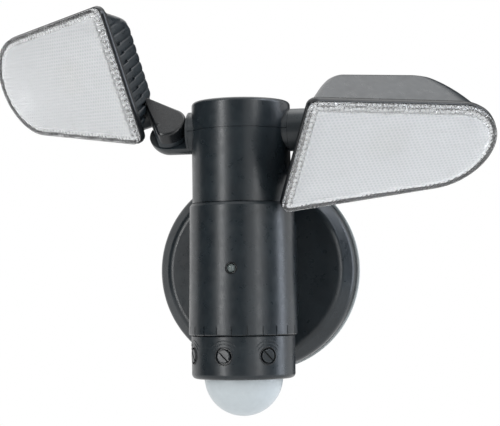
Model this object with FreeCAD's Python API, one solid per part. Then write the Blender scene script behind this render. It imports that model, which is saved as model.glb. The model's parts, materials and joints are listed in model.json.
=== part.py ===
"""Motion sensor security light: two lamp heads on jointed arms, a round column with a turning sensor, a wall plate.

Millimetres. +Z is up, +Y points into the wall, the origin is the centre of the wall plate's back.
"""

import os

import FreeCAD
import Part

from math import acos, atan2, cos, pi, radians, sin, sqrt, tan

Vec = FreeCAD.Vector

# ---------------------------------------------------------------- driving dimensions

WALL = 2.4  # moulded wall of the housings
FIT = 0.05  # radial running clearance of a turning shaft
GAP = 0.3  # clearance between pieces that move past each other

PLATE_R = 63.5  # wall plate
PLATE_RIM_Y = -14.0  # where the side of the plate turns into its face
PLATE_FACE_Y = -22.0
GASKET_R = 64.5
GASKET_T = 3.0
WALL_HOLE_PITCH = 80.0  # slotted fixing holes, one above the other
WALL_HOLE_R = 2.5
WALL_SLOT_LENGTH = 9.0
CABLE_HOLE_R = 10.0

COLUMN_Y = -57.0  # axis of the column
TUBE_R = 30.3
CAP_Z0 = 84.5  # parting line of the top cap, through the arms' spindles
CAP_Z1 = 102.5
SLEEVE_R = 32.0  # at the top; the foot of the sleeve is wider
SLEEVE_FOOT_R = 33.2
SLEEVE_Z = 40.0  # the sleeve covers the column from -SLEEVE_Z to +SLEEVE_Z
NECK_HALF_X = 28.0
NECK_HALF_Z = 32.0

COLLAR_R = 31.6  # turning sensor collar
COLLAR_Z1 = -46.5
COLLAR_Z0 = -66.5
COLLAR_NECK_R = 28.5
SPIGOT_R = 20.0
DOME_R = 24.0
DOME_Z = -65.5  # centre of the detector dome
SENSOR_REST = -10.0  # the collar stands turned a little to the left

DIAL_R = 4.0
DIAL_Z = -52.3
DIAL_STEP = 50.0  # degrees between the dials

BOSS_R = 13.0  # round seats of the arms on the column
BOSS_X = 31.0
ARM_Z = CAP_Z0
KNUCKLE_X = 45.0  # bending joint of the arm
KNUCKLE_R = 12.2
ARM_LENGTH = 28.0  # from the bending joint to the head's turning joint
ARM_T = 10.0
OBLIQUE = 55.0  # between the arm and the axis on which the head turns
ARM_ANGLES = {"right": (-104.23, 91.4, 145.88), "left": (50.47, 31.55, -31.45)}  # turn, bend, twist

LENS_HALF = 43.85  # half height of the lens at its straight inner side
LENS_END_R = 33.3
LENS_END_X = 93.7
LENS_CORNER = 5.0
LENS_DEPTH = 6.0
BEZEL_RIM = 1.4
BEZEL_FRONT = -3.0
BEZEL_BACK = -9.0
BEZEL_HOOK = -11.5
HEAD_JOINT = (22.98, -33.93, -22.15)  # across the head, up, and behind the lens

# outline of the housing's levels: depth, inner side, half height there, end centre, end radius, corner radius
HOUSING_LEVELS = (
    (-9.0, 0.2, 43.65, 93.7, 33.15, 7.5),
    (-16.0, 3.0, 41.5, 92.2, 31.4, 12.0),
    (-22.0, 9.5, 37.2, 87.0, 26.8, 15.5),
    (-26.0, 18.0, 31.5, 79.0, 20.5, 14.5),
    (-28.5, 30.0, 23.5, 71.0, 13.5, 10.0),
)
RIB_PITCH = 6.0
RIB_COUNT = 10
RIB_DEPTH = 1.3


# ---------------------------------------------------------------- basic shapes


def tube(r_out, r_in, z0, z1):
    """A ring or a disc about Z."""
    body = Part.makeCylinder(r_out, z1 - z0, Vec(0, 0, z0))
    if r_in:
        body = body.cut(Part.makeCylinder(r_in, z1 - z0, Vec(0, 0, z0)))
    return body


def rod(r, start, end):
    """A cylinder from one point to another."""
    line = Vec(*end) - Vec(*start)
    return Part.makeCylinder(r, line.Length, Vec(*start), line)


def box(x0, x1, y0, y1, z0, z1):
    return Part.makeBox(x1 - x0, y1 - y0, z1 - z0, Vec(x0, y0, z0))


def turned(points, axis=Vec(0, 0, 1)):
    """A profile of (radius, height) points turned about Z."""
    ring = Part.makePolygon([Vec(r, 0, z) for r, z in list(points) + [points[0]]])
    return Part.Face(ring).revolve(Vec(0, 0, 0), axis, 360)


def union(shapes):
    body = shapes[0]
    for other in shapes[1:]:
        body = body.fuse(other)
    return body.removeSplitter()


def rounded(body, radius, wanted):
    """Rounds the edges whose box centre passes the test."""
    edges = [e for e in body.Edges if wanted(e.BoundBox)]
    return body.makeFillet(radius, edges)


def at_column(body):
    body.translate(Vec(0, COLUMN_Y, 0))
    return body


def to_wall_frame(body):
    """Turns a shape made about +Z so that its +Z becomes -Y, out of the wall."""
    body.rotate(Vec(0, 0, 0), Vec(1, 0, 0), 90)
    return body


def around_column(body, azimuth):
    """Turns a shape made on the front of the column, about its axis, towards +X."""
    body.rotate(Vec(0, 0, 0), Vec(0, 0, 1), azimuth)
    return body


def export(name, body):
    body.exportStep("parts/" + name + ".step")


# ---------------------------------------------------------------- wall plate


def wall_plate():
    """A round dish with a soft front edge, open to the wall, with slotted holes in a back web."""
    outer = turned(((0, 3), (PLATE_R, 3), (PLATE_R, -PLATE_RIM_Y), (PLATE_R - 8, -PLATE_FACE_Y), (0, -PLATE_FACE_Y)))
    outer = rounded(outer, 6.0, lambda b: b.ZMin > 10 and b.XLength > 60)
    r, face = PLATE_R - WALL, -PLATE_FACE_Y - WALL
    inner = turned(((0, 2), (r, 2), (r, -PLATE_RIM_Y - 1.5), (r - 7.5, face), (0, face)))
    web = box(-NECK_HALF_X, NECK_HALF_X, -50, 50, 3, 5.4).common(tube(r + 0.5, 0, 0, 20))
    web = web.cut(Part.makeCylinder(CABLE_HOLE_R, 10))
    posts = [box(x - 1, x + 1, -12, 12, 5.4, face + 0.5) for x in (-26, 26)]
    window = box(-20, 20, -14, 14, 15, 25)
    body = to_wall_frame(union([outer.cut(inner), web] + posts).cut(window))
    for sign in (-1, 1):
        body = body.cut(wall_slot(sign))
        body = body.cut(rod(WALL_HOLE_R + 3.2, (0, -40, sign * WALL_HOLE_PITCH / 2), (0, -12, sign * WALL_HOLE_PITCH / 2)))
    for x, y, z in plate_screw_places():
        body = body.cut(rod(1.6, (x, y + 30, z), (x, y - 3, z)))
    return body


def wall_slot(sign):
    """An upright slotted hole for a wall screw, above or below the cable entry."""
    half = WALL_SLOT_LENGTH / 2 - WALL_HOLE_R
    z = sign * WALL_HOLE_PITCH / 2
    ends = [rod(WALL_HOLE_R, (0, -8, z + dz), (0, 1, z + dz)) for dz in (-half, half)]
    middle = box(-WALL_HOLE_R, WALL_HOLE_R, -8, 1, z - half, z + half)
    return union(ends + [middle])


def wall_gasket():
    """A flat foam ring that seals the plate to the wall."""
    ring = to_wall_frame(tube(GASKET_R, GASKET_R - 11, 0, GASKET_T))
    return ring


def plate_screw_places():
    """Four screws pull the column's neck against the plate from behind."""
    return [(x, PLATE_FACE_Y + WALL, z) for x in (-24, 24) for z in (-24, 24)]


def plate_screws():
    """Four pan-head screws from the back of the plate's face into the neck."""
    screws = []
    for x, y, z in plate_screw_places():
        head = rod(2.8, (x, y, z), (x, y + 1.8, z))
        shank = rod(1.4, (x, y, z), (x, y - 9, z))
        screws.append(head.fuse(shank).cut(box(x - 2, x + 2, y + 1, y + 3, z - 0.4, z + 0.4)))
    return Part.makeCompound(screws)


def cable_grommet():
    """A stepped rubber grommet with a tapered cable nose, pushed into the back web."""
    profile = ((CABLE_HOLE_R, 3), (CABLE_HOLE_R, 5.4), (12.5, 5.4), (12.5, 7.5), (7, 11), (3.6, 11), (3.6, 1.5))
    profile += ((12.5, 1.5), (12.5, 3))
    return to_wall_frame(turned(profile))


def terminal_block():
    """A three-pole connector block with its wire entries and screws, standing on the back web."""
    body = box(-18, 18, -16.5, -5.4, -34, -22)
    body = rounded(body, 1.0, lambda b: b.YLength > 10)
    for x in (-12, 0, 12):
        body = body.cut(rod(2.2, (x, -11, -36), (x, -11, -20)))
        body = body.cut(rod(2.5, (x, -17, -28), (x, -13, -28)))
    return body


def terminal_screws():
    """The three clamping screws of the connector block."""
    screws = []
    for x in (-12, 0, 12):
        screw = rod(2.2, (x, -15.5, -28), (x, -13, -28))
        screws.append(screw.cut(box(x - 2, x + 2, -16, -14.8, -28.3, -27.7)))
    return Part.makeCompound(screws)


# ---------------------------------------------------------------- column


def column_body():
    """The column's tube with its neck to the plate, the lower halves of the arm seats and the sensor floor."""
    lower_r = SLEEVE_R - WALL
    seam = SLEEVE_Z + 0.4
    shell = tube(TUBE_R, 0, seam, CAP_Z0).fuse(tube(lower_r, 0, -SLEEVE_Z, seam))
    neck = box(-NECK_HALF_X, NECK_HALF_X, 0, PLATE_FACE_Y - COLUMN_Y, -NECK_HALF_Z, NECK_HALF_Z)
    neck = rounded(neck, 5.0, lambda b: b.YLength > 30)
    bore = tube(TUBE_R - WALL, 0, -SLEEVE_Z + 3, CAP_Z0)
    duct = box(-NECK_HALF_X + WALL, NECK_HALF_X - WALL, 0, 50, -NECK_HALF_Z + WALL, NECK_HALF_Z - WALL)
    body = union([shell, neck] + arm_seats(-1)).cut(bore).cut(duct)
    body = union([body] + saddles(-1) + lugs(CAP_Z0 - 10, CAP_Z0))
    body = body.cut(spindle_bore())
    body = body.cut(tube(SPIGOT_R + FIT, 0, -SLEEVE_Z - 1, -SLEEVE_Z + 4))
    body = body.cut(rod(PIPE_R, (0, -40, 0), (0, -20, 0)))
    for y in LUG_Y:
        body = body.cut(rod(1.7, (0, y, CAP_Z0 - 11), (0, y, CAP_Z0 + 1)))
    body = at_column(body)
    for x, y, z in plate_screw_places():
        body = body.fuse(rod(3.2, (x, y - WALL, z), (x, y - 11.5, z)).common(neck_block()))
        body = body.cut(rod(1.4, (x, y, z), (x, y - 9, z)))
    return body.removeSplitter()


def half_block(sign, z_gap=0.0):
    """A big block on one side of the parting plane."""
    if sign < 0:
        return box(-60, 60, -60, 60, CAP_Z0 - 40, CAP_Z0)
    return box(-60, 60, -60, 60, CAP_Z0 + z_gap, CAP_Z1)


def arm_seats(sign):
    """One half of the two round seats on the column's sides."""
    return [rod(BOSS_R, (0, 0, ARM_Z), (s * BOSS_X, 0, ARM_Z)).common(half_block(sign, 0.3)) for s in (-1, 1)]


def saddles(sign):
    """One half of the bearing blocks inside, between the wall and the ring nuts."""
    return [rod(9.5, (s * 25, 0, ARM_Z), (s * 29, 0, ARM_Z)).common(half_block(sign, 0.3)) for s in (-1, 1)]


def lugs(z0, z1):
    """Two pads on the inner wall, front and back, for the cap's screws."""
    return [box(-4, 4, *span, z0, z1).common(tube(TUBE_R - 1, 0, z0, z1)) for span in ((-31, -20), (20, 31))]


def spindle_bore():
    """The running bore of both spindles, right across the column's walls."""
    return rod(SPINDLE_R + FIT, (-40, 0, ARM_Z), (40, 0, ARM_Z))


SPINDLE_R = 6.0
LUG_Y = (-23.5, 23.5)
PIPE_R = 2.5


def neck_block():
    """The outer block of the neck, in place."""
    return box(-NECK_HALF_X, NECK_HALF_X, COLUMN_Y + 5, PLATE_FACE_Y, -NECK_HALF_Z, NECK_HALF_Z)


def column_sleeve():
    """The slightly conical front cover, with a gap at the back for the neck and tick marks at its foot."""
    z0, z1, r0 = -SLEEVE_Z, SLEEVE_Z, SLEEVE_FOOT_R
    sleeve = turned(((0, z0), (r0 - 0.5, z0), (r0, z0 + 0.5), (SLEEVE_R, z1 - 2.0), (SLEEVE_R - 0.6, z1 - 0.6),
                     (SLEEVE_R - 1.8, z1), (0, z1)))
    sleeve = sleeve.cut(tube(SLEEVE_R - WALL + 0.1, 0, z0, z1))
    half = NECK_HALF_X + 0.3
    sleeve = sleeve.cut(box(-half, half, 0, 50, z0 - 1, z1 + 1))
    sleeve = sleeve.cut(rod(3.7, (0, -SLEEVE_R - 3, 0), (0, -SLEEVE_R + 0.6, 0)))
    sleeve = sleeve.cut(rod(PIPE_R + 0.1, (0, -SLEEVE_R - 1, 0), (0, -20, 0)))
    for k in range(-6, 7):
        tick = box(-0.35, 0.35, -r0 - 1, -r0 + 0.5, z0 - 1, z0 + 5.5)
        sleeve = sleeve.cut(around_column(tick, k * 360 / 22))
    return at_column(sleeve)


def top_cap():
    """The closed top with a soft edge, the upper halves of the arm seats and two screw pads."""
    cap = rounded(tube(TUBE_R, 0, CAP_Z0 + 0.3, CAP_Z1), 2.5, lambda b: b.ZMin > CAP_Z1 - 1)
    cap = union([cap] + arm_seats(1)).cut(tube(TUBE_R - WALL, 0, CAP_Z0, CAP_Z1 - WALL))
    lip = tube(TUBE_R - 0.8, TUBE_R - WALL, CAP_Z0, CAP_Z0 + 0.6)
    body = union([cap, lip] + saddles(1) + lugs(CAP_Z0, CAP_Z1 - 1))
    body = body.cut(spindle_bore())
    for y in LUG_Y:
        body = body.cut(rod(1.3, (0, y, CAP_Z0 - 1), (0, y, CAP_Z0 + 12)))
    return at_column(body)


def cap_screws():
    """Two long screws from below through the column's pads into the cap."""
    screws = []
    for y in LUG_Y:
        head = tube(2.8, 0, CAP_Z0 - 12, CAP_Z0 - 10)
        screw = head.fuse(tube(1.3, 0, CAP_Z0 - 10, CAP_Z0 + 10))
        screw = screw.cut(box(-0.4, 0.4, -3, 3, CAP_Z0 - 13, CAP_Z0 - 11.2))
        screw.translate(Vec(0, y, 0))
        screws.append(at_column(screw))
    return Part.makeCompound(screws)


def indicator_lens():
    """A clear light pipe with a domed tip that shows when movement is seen."""
    y = -SLEEVE_R + 0.9
    pin = rod(PIPE_R, (0, y, 0), (0, -20, 0))
    dome = Part.makeSphere(PIPE_R, Vec(0, y, 0)).cut(box(-5, 5, y, 5, -5, 5))
    collar = rod(3.6, (0, -TUBE_R + WALL + 0.4, 0), (0, -TUBE_R + WALL + 2.2, 0))
    return at_column(union([pin, dome, collar]))


def control_board():
    """The upright board in the column, held against the neck's walls."""
    board = box(-23, 23, 8, 9.6, -30, 34)
    return at_column(board)


def board_parts():
    """Relay, smoothing capacitor, transformer and fuse on the board."""
    relay = box(-20, -2, -8, 8, 10, 26)
    choke = rounded(box(-18, 6, -10, 8, -24, -4), 1.5, lambda b: b.YLength > 15)
    can = rod(6, (12, 8, 14), (12, -10, 14))
    fuse = rod(2.6, (12, 5, -24), (12, 5, -4)).fuse(box(9, 15, 4, 8, -22, -18)).fuse(box(9, 15, 4, 8, -10, -6))
    return at_column(Part.makeCompound([relay, choke, can, fuse.removeSplitter()]))


# ---------------------------------------------------------------- sensor


def sensor_collar():
    """The turning collar: a hollow drum with a spigot into the column and three dial recesses."""
    outer = tube(COLLAR_R, 0, COLLAR_Z0, COLLAR_Z1)
    outer = rounded(outer, 3.0, lambda b: b.ZMax < COLLAR_Z0 + 0.1)
    outer = rounded(outer, 0.8, lambda b: b.ZMin > COLLAR_Z1 - 0.1)
    neck = tube(COLLAR_NECK_R, 0, COLLAR_Z1 - 1, -SLEEVE_Z - GAP)
    spigot = tube(SPIGOT_R, 0, -SLEEVE_Z - 2, -SLEEVE_Z + 6)
    bore = tube(COLLAR_R - WALL, 0, COLLAR_Z0 + WALL, COLLAR_Z1 - WALL)
    throat = tube(SPIGOT_R - WALL, 0, COLLAR_Z1 - 5, -SLEEVE_Z + 7)
    ledge = tube(COLLAR_R - WALL + 0.5, 26.6, -59.6, -58.0)
    body = union([outer, neck, spigot]).cut(bore).cut(throat)
    body = union([body, ledge]).cut(tube(DOME_R + 0.2, 0, COLLAR_Z0 - 1, COLLAR_Z0 + 5))
    groove = tube(SPIGOT_R + 1, SPIGOT_R - 1.2, -SLEEVE_Z + 3 + GAP, -SLEEVE_Z + 4.6)
    body = body.cut(groove)
    for k in (-1, 0, 1):
        body = body.cut(dial_recess(k))
    return at_column(around_column(body, SENSOR_REST))


def dial_recess(k):
    """A round sunk seat with a through hole for the dial's shaft."""
    seat = rod(DIAL_R + 1.4, (0, -COLLAR_R - 1, DIAL_Z), (0, -COLLAR_R + 1.4, DIAL_Z))
    hole = rod(DIAL_R + GAP, (0, -COLLAR_R - 1, DIAL_Z), (0, -24, DIAL_Z))
    return around_column(seat.fuse(hole), k * DIAL_STEP)


def dial(k):
    """A round knob with a cross slot and a pointer, on a shaft into its trimmer."""
    knob = rod(DIAL_R, (0, -COLLAR_R - 0.4, DIAL_Z), (0, -COLLAR_R + 4, DIAL_Z))
    knob = rounded(knob, 0.5, lambda b: b.YMax < -COLLAR_R)
    shaft = rod(1.5, (0, -COLLAR_R + 3, DIAL_Z), (0, -19.5, DIAL_Z))
    body = union([knob, shaft])
    slot = box(-DIAL_R - 1, DIAL_R + 1, -COLLAR_R - 1, -COLLAR_R + 0.9, DIAL_Z - 0.6, DIAL_Z + 0.6)
    slot.rotate(Vec(0, 0, DIAL_Z), Vec(0, 1, 0), 45)
    return at_column(around_column(body.cut(slot), k * DIAL_STEP + SENSOR_REST))


def trimmer_pots():
    """Three small trimmers on the sensor board, one behind each dial."""
    pots = []
    for k in (-1, 0, 1):
        pot = box(-4.5, 4.5, -22, -16.5, -56.4, DIAL_Z + 3.2)
        pot = pot.cut(rod(1.5 + FIT, (0, -23, DIAL_Z), (0, -19.3, DIAL_Z)))
        pots.append(around_column(pot, k * DIAL_STEP + SENSOR_REST))
    return at_column(Part.makeCompound(pots))


def sensor_ring():
    """The snap ring that keeps the collar's spigot in the column's floor."""
    ring = tube(24, SPIGOT_R - 1.2, -SLEEVE_Z + 3 + GAP, -SLEEVE_Z + 4.6)
    return at_column(ring.cut(box(-3, 3, 0, 30, -50, 0)))


def collar_seal():
    """A rubber ring in the gap between the column's floor and the collar."""
    return at_column(tube(25.5, 22.5, -SLEEVE_Z - GAP, -SLEEVE_Z - 0.1))


def pir_board():
    """The round sensor board on the collar's ledge."""
    return at_column(tube(29.0, 0, -58.0, -56.4).cut(box(-3, 3, 20, 30, -60, -50)))


def pir_sensor():
    """The detector can with its square window, under the board."""
    can = tube(4.6, 0, -62.2, -58).fuse(tube(5.2, 0, -58.8, -58))
    window = box(-2, 2, -2, 2, -63, -61.8)
    return at_column(can.removeSplitter().cut(window))


def pir_dome():
    """The translucent hemisphere, with a flange that sits in the collar's floor."""
    shell = Part.makeSphere(DOME_R, Vec(0, 0, DOME_Z)).cut(Part.makeSphere(DOME_R - 1.2, Vec(0, 0, DOME_Z)))
    lower = shell.cut(box(-30, 30, -30, 30, DOME_Z, 0))
    skirt = tube(DOME_R, DOME_R - 1.2, DOME_Z, COLLAR_Z0 + WALL + 1.5)
    flange = tube(27.5, DOME_R - 1.2, COLLAR_Z0 + WALL, COLLAR_Z0 + WALL + 1.5)
    return at_column(union([lower, skirt, flange]))


# ---------------------------------------------------------------- arms


def swivel():
    """The seat that turns on the column's side: a round boss whose far half is one cheek of the bending joint."""
    x0, x1 = BOSS_X + 0.15, KNUCKLE_X
    disc = rod(BOSS_R, (x0, 0, 0), (KNUCKLE_X - KNUCKLE_R - GAP, 0, 0))
    barrel = rod(BOSS_R, (x0, 0, 0), (x1, 0, 0)).fuse(Part.makeSphere(BOSS_R, Vec(x1, 0, 0)))
    cheek = barrel.common(box(0, 80, -20, 20, -20, -0.15))
    spindle = rod(SPINDLE_R, (20.5, 0, 0), (x0 + 1, 0, 0))
    body = union([disc, cheek, spindle])
    body = body.cut(rod(3.4, (20, 0, 0), (x0 + 0.6, 0, 0)))
    body = body.cut(rod(2.5, (x1, 0, -20), (x1, 0, 5)))
    return body.cut(rod(4.6, (x1, 0, -20), (x1, 0, -8)))


def swivel_ring():
    """The ring nut inside the column that clamps the swivel's spindle."""
    ring = rod(10.5, (21, 0, 0), (24.3, 0, 0)).cut(rod(SPINDLE_R, (20, 0, 0), (25, 0, 0)))
    for k in range(6):
        notch = box(20, 26, -1.2, 1.2, 9.5, 12)
        notch.rotate(Vec(0, 0, 0), Vec(1, 0, 0), 60 * k)
        ring = ring.cut(notch)
    return ring


def arm():
    """The arm: a half-round knuckle, a flat bar, and an oblique round end that carries the head."""
    dome = Part.makeSphere(KNUCKLE_R, Vec(0, 0, 0)).common(box(-20, 20, -20, 20, 0.15, ARM_T))
    r0, r1 = 9.8, END_R - 0.2
    corners = [Vec(0, -r0, 0.15), Vec(ARM_LENGTH, -r1, 0.15), Vec(ARM_LENGTH, r1, 0.15), Vec(0, r0, 0.15)]
    web = Part.Face(Part.makePolygon(corners + corners[:1])).extrude(Vec(0, 0, ARM_T - 2.65))
    web = rounded(web, 2.0, lambda b: b.ZMin > ARM_T - 3 and b.XLength > ARM_LENGTH - 1)
    boss = rod(END_R, *end_span(END_LENGTH, 0.15))
    body = union([dome, web, boss])
    body = body.cut(half_space_beyond_joint()).cut(shoulder_cut())
    body = body.cut(rod(2.5 + FIT, (0, 0, -5), (0, 0, 20)))
    body = body.cut(rod(4.8, (0, 0, ARM_T - 1.5), (0, 0, 20)))
    body = body.cut(rod(2.5 + FIT, *end_span(30, -5)))
    return body.cut(rod(4.8, *end_span(30, END_LENGTH - 2.0)))


END_R = 7.8
END_LENGTH = 7.6


def head_axis():
    """The direction of the head's turning axis in the arm's frame, from the arm into the head."""
    return Vec(cos(radians(OBLIQUE)), -sin(radians(OBLIQUE)), 0)


def end_span(far, near):
    """Two points on the head's turning axis, at distances from the joint face back into the arm."""
    joint = Vec(ARM_LENGTH, 0, 0)
    axis = head_axis()
    return joint - axis * far, joint - axis * near


def shoulder_cut():
    """A wide ring about the head's turning axis: trims the bar's end to the round that meets the head."""
    return rod(40, *end_span(END_LENGTH - 0.6, 0)).cut(rod(END_R, *end_span(END_LENGTH, -1)))


def half_space_beyond_joint():
    """A block on the head's side of the oblique joint face."""
    start, end = end_span(0.15, -40)
    return Part.makeCylinder(40, (end - start).Length, start, end - start)


def knuckle_bolt():
    """The bolt and nut that clamp the bending joint, in the swivel's frame."""
    bolt = rod(2.5, (KNUCKLE_X, 0, -11), (KNUCKLE_X, 0, ARM_T - 1.5))
    head = rod(4.5, (KNUCKLE_X, 0, ARM_T - 1.5), (KNUCKLE_X, 0, ARM_T + 0.8))
    head = rounded(head, 0.6, lambda b: b.ZMin > ARM_T)
    recess = box(KNUCKLE_X - 3, KNUCKLE_X + 3, -0.5, 0.5, ARM_T, ARM_T + 2)
    cross = box(KNUCKLE_X - 0.5, KNUCKLE_X + 0.5, -3, 3, ARM_T, ARM_T + 2)
    nut = rod(4.2, (KNUCKLE_X, 0, -11), (KNUCKLE_X, 0, -8))
    return union([bolt, head, nut]).cut(recess).cut(cross)


# ---------------------------------------------------------------- lamp heads
# x runs along the head from its straight inner side, y across it, z out of the lens


def head_outline(z, inner, half, end_x, end_r, corner):
    """A D-shaped outline: straight inner side, two straight sides that close in, and a round end."""
    # angle of the long sides, from half * cos(t) - (end_x - inner) * sin(t) = end_r
    reach = sqrt(half**2 + (end_x - inner) ** 2)
    tilt = acos(end_r / reach) - atan2(end_x - inner, half)
    nx, ny = sin(tilt), cos(tilt)
    line_at = end_x * nx + end_r
    cy = (line_at - corner - (inner + corner) * nx) / ny
    cx = inner + corner
    top = [
        Vec(inner, cy, z),
        Vec(cx - corner * cos(pi / 4 - tilt / 2), cy + corner * sin(pi / 4 + tilt / 2), z),
        Vec(cx + corner * nx, cy + corner * ny, z),
        Vec(end_x + end_r * nx, end_r * ny, z),
    ]
    tip = Vec(end_x + end_r, 0, z)
    low = [Vec(p.x, -p.y, z) for p in top]
    edges = [
        Part.LineSegment(low[0], top[0]).toShape(),
        Part.Arc(top[0], top[1], top[2]).toShape(),
        Part.LineSegment(top[2], top[3]).toShape(),
        Part.Arc(top[3], tip, low[3]).toShape(),
        Part.LineSegment(low[3], low[2]).toShape(),
        Part.Arc(low[2], low[1], low[0]).toShape(),
    ]
    return Part.Wire(edges)


def head_plate(z0, z1, inset):
    """A flat D-shaped plate whose outline is the lens's, drawn in by the inset."""
    outline = head_outline(z0, inset, lens_half_at(inset), LENS_END_X, LENS_END_R - inset, max(LENS_CORNER - inset, 1.0))
    return Part.Face(outline).extrude(Vec(0, 0, z1 - z0))


def lens_half_at(inset):
    """Half height of the drawn-in outline at its own inner side."""
    reach = sqrt(LENS_HALF**2 + LENS_END_X**2)
    tilt = acos(LENS_END_R / reach) - atan2(LENS_END_X, LENS_HALF)
    return LENS_HALF - inset * tan(tilt) - inset / cos(tilt)


def lens():
    """The clear prismatic cover: a plate with a skirt that drops into the bezel."""
    plate = head_plate(-2.6, 0, 0)
    plate = rounded(plate, 0.8, lambda b: b.ZMin > -0.1)
    skirt = head_plate(-LENS_DEPTH, -2.6, 0).cut(head_plate(-LENS_DEPTH, -2.6, 2.0))
    return union([plate, skirt])


def lens_seal():
    """The rubber cord under the lens's skirt."""
    return head_plate(-LENS_DEPTH - 1.2, -LENS_DEPTH, 0.3).cut(head_plate(-LENS_DEPTH - 1.2, -LENS_DEPTH, 1.8))


def bezel():
    """The frame round the lens: a rim outside it, a floor that carries the seal and a skirt with a snap bead."""
    floor_z = -LENS_DEPTH - 1.2
    body = loft_between((BEZEL_BACK, 0.1), (BEZEL_FRONT, -BEZEL_RIM))
    body = rounded(body, 0.6, lambda b: b.ZMin > BEZEL_FRONT - 0.1)
    body = body.cut(head_plate(floor_z, 0, -0.05))
    skirt = loft_between((BEZEL_HOOK, 4.5), (BEZEL_BACK, 3.6))
    return body.fuse(skirt).cut(head_plate(BEZEL_HOOK, 0, 5.1)).removeSplitter()


def reflector():
    """The bright tray behind the lens, with sloping walls and a flat floor."""
    rim = head_plate(-4.2, -3.4, 2.3).cut(head_plate(-4.2, -3.4, 4.4))
    wall = loft_between((-4.2, 4.2), (-11.5, 15.0)).cut(loft_between((-4.2, 5.0), (-10.7, 15.8)))
    return union([rim, wall]).cut(box(48, 72, -12, 12, -14, -9))


def loft_between(front, back):
    """A sloped D-shaped block between two levels given as (z, inset)."""
    wires = []
    for z, inset in (front, back):
        corner = max(LENS_CORNER - inset, LENS_CORNER)
        wires.append(head_outline(z, inset, lens_half_at(inset), LENS_END_X, LENS_END_R - inset, corner))
    return Part.makeLoft(wires, True, True)


def led_board():
    """The aluminium board with the light sources, behind the reflector's window."""
    board = box(44, 76, -16, 16, -13.2, -11.55)
    for x in (47, 73):
        board = board.cut(rod(1.7, (x, 13, -16), (x, 13, -10)))
    return board


def leds():
    """A square field of nine light-emitting packages."""
    chips = [box(60 + x - 1.75, 60 + x + 1.75, y - 1.75, y + 1.75, -11.55, -10.8) for x in (-7, 0, 7) for y in (-7, 0, 7)]
    return Part.makeCompound(chips)


def housing_solid(inset, lift):
    """The smooth outer form of the housing, drawn in by an inset and shortened by a lift."""
    wires = []
    for z, inner, half, end_x, end_r, corner in HOUSING_LEVELS:
        z_in = z + lift * (z + 9.0) / (HOUSING_LEVELS[-1][0] + 9.0)
        wires.append(head_outline(z_in, inner + inset, half - inset, end_x, end_r - inset, corner))
    return Part.makeLoft(wires, True, False)


def housing():
    """The moulded back: a drafted D-shaped tub with cooling ribs and slots, and a pocket for the arm's end."""
    smooth = housing_solid(0, 0)
    body = ribbed(smooth)
    body = body.cut(housing_solid(WALL, WALL))
    pad = joint_axis_rod(END_R, -0.15, -7.0)
    pocket = joint_axis_rod(POCKET_R + 1.8, -0.15, -1.8).common(smooth)
    body = union([body, pad, pocket])
    body = body.cut(joint_axis_rod(POCKET_R, -0.15, 40))
    body = body.cut(joint_axis_rod(2.5, -15, 20))
    return body.cut(joint_axis_rod(4.3, -4.0, -15))


def ribbed(smooth):
    """Cuts the grooves and slots between the ribs of the inner side."""
    core = housing_solid(RIB_DEPTH, RIB_DEPTH)
    body = smooth
    for k in range(RIB_COUNT + 1):
        y = (k - RIB_COUNT / 2) * RIB_PITCH + 4.0
        lane = box(-5, 22 - 0.3 * k, y - 1.1, y + 1.1, -40, -10.4)
        body = body.cut(lane.common(smooth.cut(core)))
        if k < RIB_COUNT - 2:
            body = body.cut(box(-5, 8, y - 0.7, y + 0.7, -20.5 + 0.6 * k, -11.0))
    return body


POCKET_R = 9.0


def joint_axis_rod(r, near, far):
    """A rod along the head's turning axis, measured from the joint face out of the housing."""
    u, v, n = HEAD_JOINT
    axis = Vec(cos(radians(OBLIQUE)), 0, sin(radians(OBLIQUE)))
    joint = Vec(u, v, n)
    a, b = joint - axis * near, joint - axis * far
    return Part.makeCylinder(r, (b - a).Length, a, b - a)


def head_stud():
    """The bolt on which the head turns, with its nut sunk in the arm's end."""
    shaft = joint_axis_rod(2.5, -4.0, END_LENGTH)
    nut = joint_axis_rod(4.5, END_LENGTH - 2.0, END_LENGTH + 0.5)
    head = joint_axis_rod(4.2, -6.5, -4.0)
    return union([shaft, nut, head])


# ---------------------------------------------------------------- placing and writing


def arm_frames(side):
    """The placements of swivel, arm and head for one side, as on the +X side."""
    turn, bend, twist = ARM_ANGLES[side]
    at_boss = FreeCAD.Placement(Vec(0, COLUMN_Y, ARM_Z), FreeCAD.Rotation(Vec(1, 0, 0), turn))
    to_knuckle = FreeCAD.Placement(Vec(KNUCKLE_X, 0, 0), FreeCAD.Rotation(Vec(0, 0, 1), bend))
    at_arm = at_boss.multiply(to_knuckle)
    to_joint = FreeCAD.Placement(Vec(ARM_LENGTH, 0, 0), FreeCAD.Rotation(head_axis(), twist))
    upright = FreeCAD.Rotation(Vec(1, 0, 0), Vec(0, 0, 1), Vec(0, -1, 0), "XYZ")
    u, v, n = HEAD_JOINT
    from_joint = FreeCAD.Placement(Vec(0, 0, 0), upright).multiply(
        FreeCAD.Placement(Vec(-u, -v, -n), FreeCAD.Rotation()))
    at_head = at_arm.multiply(to_joint).multiply(from_joint)
    return {"swivel": at_boss, "arm": at_arm, "head": at_head}


SIDE_PARTS = {
    "swivel": (("swivel", swivel), ("swivel_ring", swivel_ring), ("knuckle_bolt", knuckle_bolt)),
    "arm": (("arm", arm),),
    "head": (("housing", housing), ("bezel", bezel), ("lens", lens), ("lens_seal", lens_seal),
             ("reflector", reflector), ("led_board", led_board), ("leds", leds),
             ("head_stud", head_stud)),
}

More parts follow.
